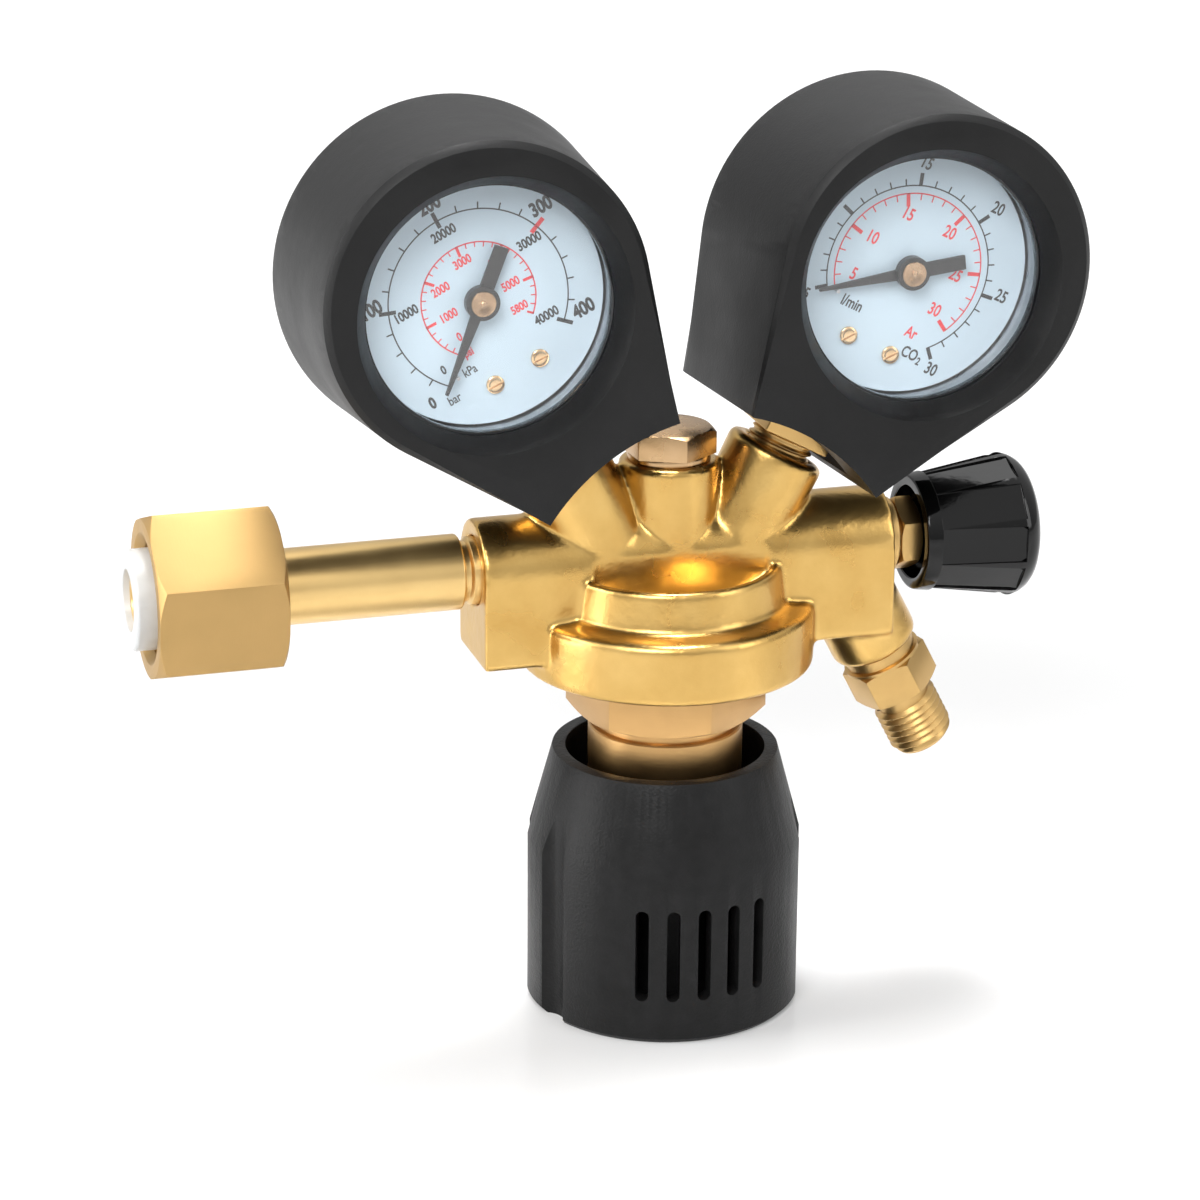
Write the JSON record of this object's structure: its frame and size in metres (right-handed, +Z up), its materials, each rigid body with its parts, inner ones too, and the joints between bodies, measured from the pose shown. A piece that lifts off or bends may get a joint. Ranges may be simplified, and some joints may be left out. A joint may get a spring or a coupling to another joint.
{
  "type": "argon flowmeter regulator",
  "caption": "Brass gas pressure regulator with adjusting knob below, outlet valve, union nut inlet and paired dial gauges in rubber boots.",
  "frame": {"origin": "centre of the adjusting knob's flat base, which the regulator stands on", "axes": "+Z up along the adjusting screw, dials face -Y, inlet points to -X and outlet valve to +X"},
  "size_m": [0.1804, 0.0574, 0.1826],
  "materials": {
    "forged_brass": "satin blasted forging, deep gold",
    "turned_brass": "fine turned",
    "copper_gasket": "dull copper tint",
    "knob_plastic": "fine matte texture, black",
    "nylon": "off-white, smooth",
    "handle_plastic": "glossy black",
    "boot_rubber": "soft satin black",
    "seal_rubber": "smooth black",
    "steel": "fine turned or drawn",
    "nickel": "bright plated",
    "clear_window": "clear, polished",
    "dial_paint": "pale, matt",
    "pointer_paint": "satin black"
  },
  "bodies": {
    "regulator": {"body": "forged_brass", "inlet_nipple": "turned_brass", "inlet_seal": "nylon", "inlet_filter": "turned_brass", "plug_gasket": "copper_gasket", "valve_plug": "turned_brass", "valve_seat": "turned_brass", "valve_spring": "steel", "diaphragm": "seal_rubber", "diaphragm_plate": "turned_brass", "slip_ring": "steel", "bonnet": "turned_brass", "main_spring": "steel", "valve_bonnet": "turned_brass", "spindle_seal": "seal_rubber", "outlet_adapter": "turned_brass", "gauge_washers": "turned_brass", "dial_screws": "turned_brass", "pointer_stops": "steel", "case_left": "steel", "bezel_left": "nickel", "window_left": "clear_window", "dial_left": "dial_paint", "movement_left": "turned_brass", "gauge_socket_left": "turned_brass", "bourdon_tube_left": "turned_brass", "boot_left": "boot_rubber", "case_right": "steel", "bezel_right": "nickel", "window_right": "clear_window", "dial_right": "dial_paint", "movement_right": "turned_brass", "gauge_socket_right": "turned_brass", "bourdon_tube_right": "turned_brass", "boot_right": "boot_rubber"},
    "union_nut": {"union_nut": "turned_brass"},
    "spring_follower": {"spring_button": "steel"},
    "adjusting_knob": {"adjusting_knob": "knob_plastic", "adjusting_screw": "steel"},
    "poppet": {"poppet": "turned_brass"},
    "valve_pad": {"valve_pad": "nylon"},
    "outlet_knob": {"valve_knob": "handle_plastic", "valve_spindle": "steel"},
    "pointer_left": {"pointer_left": "pointer_paint", "arbor_left": "nickel"},
    "pointer_right": {"pointer_right": "pointer_paint", "arbor_right": "nickel"}
  },
  "joints": [
    {"name": "union_nut_turn", "type": "hinge", "parent": "regulator", "child": "union_nut", "pos_m": [-0.09, 0, 0.092], "axis": [1, 0, 0], "continuous": true},
    {"name": "spring_button_travel", "type": "slide", "parent": "regulator", "child": "spring_follower", "axis": [0, 0, 1], "range_m": [-0.006, 0], "deforming": ["main_spring"]},
    {"name": "knob_turn", "type": "hinge", "parent": "spring_follower", "child": "adjusting_knob", "pos_m": [0, 0, 0.02], "axis": [0, 0, 1], "range_deg": [-1440, 0]},
    {"name": "poppet_lift", "type": "slide", "parent": "regulator", "child": "poppet", "axis": [0, 0, 1], "range_m": [0, 0.001], "stiffness_N_per_m": 800, "springref_m": -0.004, "deforming": ["valve_spring"]},
    {"name": "valve_pad_travel", "type": "slide", "parent": "regulator", "child": "valve_pad", "axis": [1, 0, 0], "range_m": [0, 0.0015]},
    {"name": "outlet_knob_turn", "type": "hinge", "parent": "valve_pad", "child": "outlet_knob", "pos_m": [0.06, 0, 0.092], "axis": [1, 0, 0], "range_deg": [0, 540]},
    {"name": "pointer_left_turn", "type": "hinge", "parent": "regulator", "child": "pointer_left", "pos_m": [-0.04179, -0.0148, 0.1495], "axis": [0, 1, 0], "range_deg": [0, 265]},
    {"name": "pointer_right_turn", "type": "hinge", "parent": "regulator", "child": "pointer_right", "pos_m": [0.04179, -0.0148, 0.1495], "axis": [0, 1, 0], "range_deg": [0, 260]}
  ],
  "couplings": [
    {"joint": "spring_button_travel", "follows": "knob_turn", "m_per_rad": 0.00023873},
    {"joint": "valve_pad_travel", "follows": "outlet_knob_turn", "m_per_rad": 0.00015915}
  ]
}
